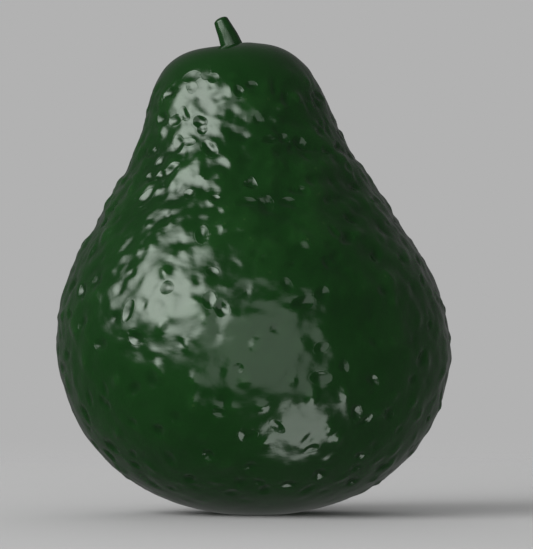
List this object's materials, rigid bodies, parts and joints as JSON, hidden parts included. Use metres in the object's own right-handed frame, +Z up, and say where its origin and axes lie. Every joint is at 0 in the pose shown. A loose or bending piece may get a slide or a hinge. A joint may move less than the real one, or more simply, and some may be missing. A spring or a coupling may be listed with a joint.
{
  "type": "avocado",
  "caption": "Plump pear-shaped avocado with a pebbled dark green skin, a smooth crown, a short bent stem stub and a small flat spot to stand on.",
  "frame": {"origin": "middle of the small flat spot under the fruit, where it stands", "axes": "+Z up through the fruit to the stem; the neck and the stem lean a little to -X; -Y is the side that the picture shows"},
  "size_m": [0.0797, 0.0792, 0.0994],
  "materials": {
    "skin": "gloss",
    "stem": "satin"
  },
  "bodies": {
    "root": {"fruit": "skin", "stem": "stem"}
  },
  "joints": []
}
